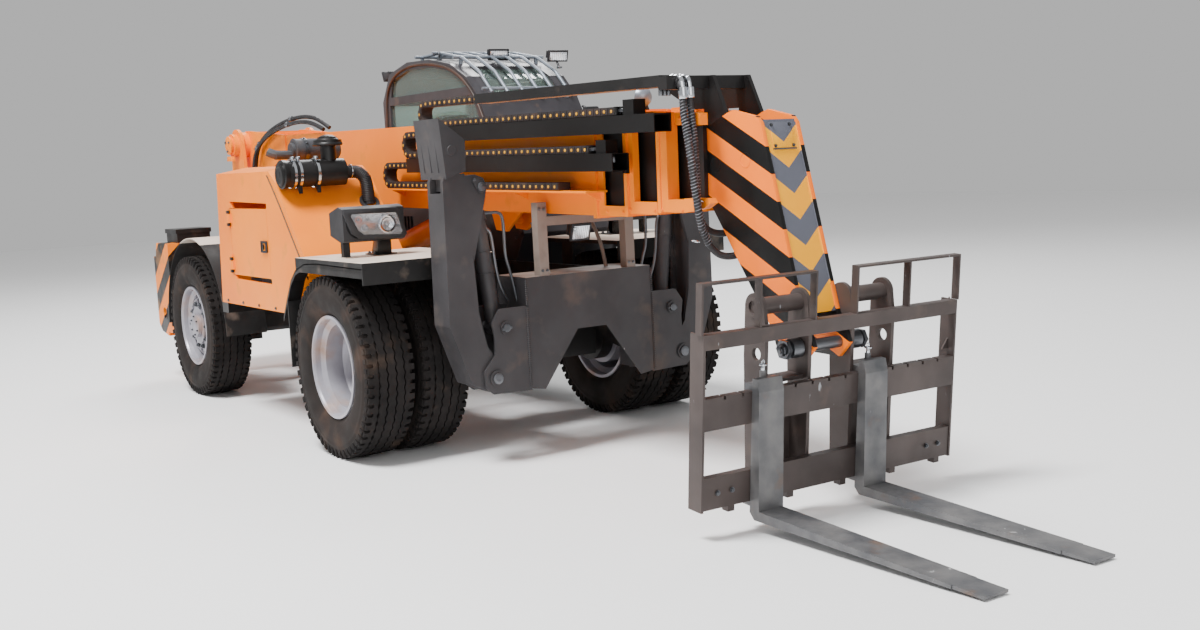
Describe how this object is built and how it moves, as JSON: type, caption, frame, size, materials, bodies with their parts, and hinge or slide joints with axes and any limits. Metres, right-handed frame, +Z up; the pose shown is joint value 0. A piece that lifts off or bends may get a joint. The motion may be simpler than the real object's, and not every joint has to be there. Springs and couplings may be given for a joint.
{
  "type": "telehandler",
  "caption": "Rough-terrain telehandler with a telescoping boom, side cab, pallet forks on a tilting carriage, folding front stabilisers and energy chains.",
  "frame": {"origin": "centre of the whole machine's outline on the ground", "axes": "+X to the front, where the forks are, +Y to the machine's left, where the cab is, +Z up"},
  "size_m": [8.3815, 2.48, 2.4667],
  "materials": {
    "black": "satin black paint",
    "chrome": "polished rod",
    "glass": "clear glass",
    "grey": "satin grey paint",
    "hose": "black rubber",
    "iron": "dark cast iron",
    "lamp": "glossy lamp plastic",
    "plastic": "matte black plastic",
    "steel": "worn steel",
    "tyre": "matte tyre rubber",
    "white": "gloss white paint",
    "yellow": "gloss yellow paint"
  },
  "bodies": {
    "chassis": {"chassis_frame": "grey", "front_frame": "grey", "front_axle": "grey", "rear_axle": "grey", "boom_towers": "yellow", "counterweight": "grey", "rear_boxes": "grey", "hood": "yellow", "hood_hinges": "black", "engine_block": "iron", "air_cleaner": "plastic", "exhaust": "steel", "mudguards": "black", "headlamps": "lamp", "cab_frame": "grey", "cab_glass": "glass", "cab_guard": "black", "cab_hinges": "black", "cab_interior": "plastic", "side_tank": "grey"},
    "front_wheels_right": {"front_tyres_right": "tyre", "front_rims_right": "white"},
    "front_wheels_left": {"front_tyres_left": "tyre", "front_rims_left": "white"},
    "knuckle_right": {"knuckle_right": "grey"},
    "knuckle_left": {"knuckle_left": "grey"},
    "rear_wheel_right": {"rear_tyre_right": "tyre", "rear_rim_right": "white"},
    "rear_wheel_left": {"rear_tyre_left": "tyre", "rear_rim_left": "white"},
    "steering_rod": {"steering_rod": "chrome"},
    "boom": {"boom_outer": "yellow", "chain_run_c": "plastic"},
    "section_2": {"boom_section_2": "black", "chain_run_b": "plastic"},
    "section_3": {"boom_section_3": "black", "chain_run_a": "plastic"},
    "section_4": {"boom_section_4": "black", "nose_hoses": "hose"},
    "chain_loop_a": {"chain_loop_a": "plastic"},
    "chain_loop_b": {"chain_loop_b": "plastic"},
    "chain_loop_c": {"chain_loop_c": "plastic"},
    "carriage": {"carriage": "black", "carriage_pin": "steel", "load_guards": "black", "fork_right": "steel", "fork_left": "steel"},
    "lift_barrel": {"lift_barrel": "yellow"},
    "lift_rod": {"lift_rod": "chrome"},
    "hood_door": {"hood_door": "yellow"},
    "cab_door": {"cab_door": "grey", "cab_door_glass": "glass"},
    "stabiliser_leg_right": {"stabiliser_leg_right": "black"},
    "stabiliser_barrel_right": {"stabiliser_barrel_right": "black"},
    "stabiliser_rod_right": {"stabiliser_rod_right": "chrome"},
    "stabiliser_leg_left": {"stabiliser_leg_left": "black"},
    "stabiliser_barrel_left": {"stabiliser_barrel_left": "black"},
    "stabiliser_rod_left": {"stabiliser_rod_left": "chrome"}
  },
  "joints": [
    {"name": "front_wheels_spin_right", "type": "hinge", "parent": "chassis", "child": "front_wheels_right", "pos_m": [0.099, 0, 0.53], "axis": [0, 1, 0], "continuous": true},
    {"name": "front_wheels_spin_left", "type": "hinge", "parent": "chassis", "child": "front_wheels_left", "pos_m": [0.099, 0, 0.53], "axis": [0, 1, 0], "continuous": true},
    {"name": "steer_right", "type": "hinge", "parent": "chassis", "child": "knuckle_right", "pos_m": [-2.901, -0.7, 0.53], "axis": [0, 0, 1], "range_deg": [-30, 30]},
    {"name": "rear_wheel_spin_right", "type": "hinge", "parent": "knuckle_right", "child": "rear_wheel_right", "pos_m": [-2.901, 0, 0.53], "axis": [0, 1, 0], "continuous": true},
    {"name": "steer_left", "type": "hinge", "parent": "chassis", "child": "knuckle_left", "pos_m": [-2.901, 0.7, 0.53], "axis": [0, 0, 1], "range_deg": [-30, 30]},
    {"name": "rear_wheel_spin_left", "type": "hinge", "parent": "knuckle_left", "child": "rear_wheel_left", "pos_m": [-2.901, 0, 0.53], "axis": [0, 1, 0], "continuous": true},
    {"name": "steering_rod_slide", "type": "slide", "parent": "chassis", "child": "steering_rod", "axis": [0, 1, 0], "range_m": [-0.0905, 0.0905]},
    {"name": "boom_lift", "type": "hinge", "parent": "chassis", "child": "boom", "pos_m": [-3.751, 0, 1.9], "axis": [0, -1, 0], "range_deg": [0, 70]},
    {"name": "boom_extend", "type": "slide", "parent": "boom", "child": "section_2", "axis": [0.9999, 0, -0.0157], "range_m": [0, 3.25]},
    {"name": "section_3_slide", "type": "slide", "parent": "section_2", "child": "section_3", "axis": [0.9999, 0, -0.0157], "range_m": [0, 3.25]},
    {"name": "section_4_slide", "type": "slide", "parent": "section_3", "child": "section_4", "axis": [0.9999, 0, -0.0157], "range_m": [0, 3.25]},
    {"name": "chain_a_slide", "type": "slide", "parent": "section_3", "child": "chain_loop_a", "axis": [0.9999, 0, -0.0157], "range_m": [0, 1.625], "deforming": ["chain_loop_a"]},
    {"name": "chain_b_slide", "type": "slide", "parent": "section_2", "child": "chain_loop_b", "axis": [0.9999, 0, -0.0157], "range_m": [0, 1.625], "deforming": ["chain_loop_b"]},
    {"name": "chain_c_slide", "type": "slide", "parent": "boom", "child": "chain_loop_c", "axis": [0.9999, 0, -0.0157], "range_m": [0, 1.625], "deforming": ["chain_loop_c"]},
    {"name": "carriage_tilt", "type": "hinge", "parent": "section_4", "child": "carriage", "pos_m": [2.869, 0, 0.765], "axis": [0, 1, 0], "range_deg": [-10, 70]},
    {"name": "lift_barrel_pivot", "type": "hinge", "parent": "chassis", "child": "lift_barrel", "pos_m": [-2.801, 0, 0.75], "axis": [0, -1, 0], "range_deg": [0, 66.2]},
    {"name": "lift_rod_slide", "type": "slide", "parent": "lift_barrel", "child": "lift_rod", "axis": [0.9714, 0, 0.2375], "range_m": [0, 1.6995]},
    {"name": "stabiliser_right", "type": "hinge", "parent": "chassis", "child": "stabiliser_leg_right", "pos_m": [0.879, -0.637, 0.486], "axis": [1, 0, 0], "range_deg": [0, 99]},
    {"name": "stabiliser_barrel_pivot_right", "type": "hinge", "parent": "chassis", "child": "stabiliser_barrel_right", "pos_m": [0.867, -0.565, 0.756], "axis": [1, 0, 0], "range_deg": [0, 105.6]},
    {"name": "stabiliser_rod_slide_right", "type": "slide", "parent": "stabiliser_barrel_right", "child": "stabiliser_rod_right", "axis": [0, -0.1261, 0.992], "range_m": [0, 0.4115]},
    {"name": "stabiliser_left", "type": "hinge", "parent": "chassis", "child": "stabiliser_leg_left", "pos_m": [0.879, 0.637, 0.486], "axis": [-1, 0, 0], "range_deg": [0, 99]},
    {"name": "stabiliser_barrel_pivot_left", "type": "hinge", "parent": "chassis", "child": "stabiliser_barrel_left", "pos_m": [0.867, 0.565, 0.756], "axis": [-1, 0, 0], "range_deg": [0, 105.6]},
    {"name": "stabiliser_rod_slide_left", "type": "slide", "parent": "stabiliser_barrel_left", "child": "stabiliser_rod_left", "axis": [0, 0.1261, 0.992], "range_m": [0, 0.4115]},
    {"name": "hood_door_hinge", "type": "hinge", "parent": "chassis", "child": "hood_door", "pos_m": [-1.641, -1.16, 1.2], "axis": [0, 0, -1], "range_deg": [0, 100]},
    {"name": "cab_door_hinge", "type": "hinge", "parent": "chassis", "child": "cab_door", "pos_m": [-1.841, 1.16, 1.6], "axis": [0, 0, 1], "range_deg": [0, 80]}
  ],
  "couplings": [
    {"joint": "steer_left", "follows": "steer_right", "ratio": 1},
    {"joint": "steering_rod_slide", "follows": "steer_right", "m_per_rad": -0.172},
    {"joint": "section_3_slide", "follows": "boom_extend", "ratio": 1},
    {"joint": "section_4_slide", "follows": "boom_extend", "ratio": 1},
    {"joint": "chain_a_slide", "follows": "boom_extend", "ratio": 0.5},
    {"joint": "chain_b_slide", "follows": "boom_extend", "ratio": 0.5},
    {"joint": "chain_c_slide", "follows": "boom_extend", "ratio": 0.5},
    {"joint": "lift_barrel_pivot", "follows": "boom_lift", "ratio": 0.94432},
    {"joint": "lift_rod_slide", "follows": "boom_lift", "m_per_rad": 1.3903},
    {"joint": "stabiliser_barrel_pivot_right", "follows": "stabiliser_right", "ratio": 1.0652},
    {"joint": "stabiliser_rod_slide_right", "follows": "stabiliser_right", "m_per_rad": 0.23784},
    {"joint": "stabiliser_barrel_pivot_left", "follows": "stabiliser_left", "ratio": 1.0652},
    {"joint": "stabiliser_rod_slide_left", "follows": "stabiliser_left", "m_per_rad": 0.23784}
  ]
}
